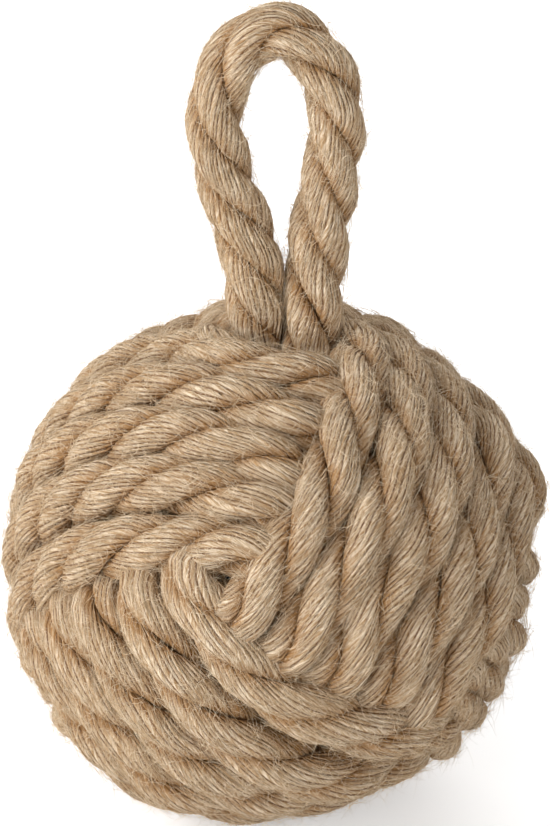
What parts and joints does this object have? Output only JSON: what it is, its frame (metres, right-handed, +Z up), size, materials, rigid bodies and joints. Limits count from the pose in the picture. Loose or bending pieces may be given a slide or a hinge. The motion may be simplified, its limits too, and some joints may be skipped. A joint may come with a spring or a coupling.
{
  "type": "rope knot doorstop",
  "caption": "Weighted doorstop: a ball-shaped monkey's fist knot in natural rope round a bag of sand, with an upright rope loop to lift it by.",
  "frame": {"origin": "on the floor, under the middle of the knot", "axes": "+Z up through the knot to the loop handle; the loop stands in the XZ plane; -Y is the pictured side"},
  "size_m": [0.1662, 0.1645, 0.2676],
  "materials": {
    "knot_rope": "matt natural jute rope, three strands",
    "handle_rope": "matt natural jute rope, three strands",
    "bag_cloth": "dark woven cloth",
    "tie_twine": "twine",
    "sand": "dry sand, matt"
  },
  "bodies": {
    "knot": {"first_winding": "knot_rope", "second_winding": "knot_rope", "third_winding": "knot_rope", "handle_root_left": "handle_rope", "handle_root_right": "handle_rope", "core_bag": "bag_cloth", "bag_tie": "tie_twine", "sand_fill": "sand"},
    "handle": {"handle_loop": "handle_rope"}
  },
  "joints": [
    {"name": "handle_tilt", "type": "hinge", "parent": "knot", "child": "handle", "pos_m": [0.004, 0, 0.17312], "axis": [1, 0, 0], "range_deg": [-30, 30], "stiffness_Nm_per_rad": 0.45}
  ]
}
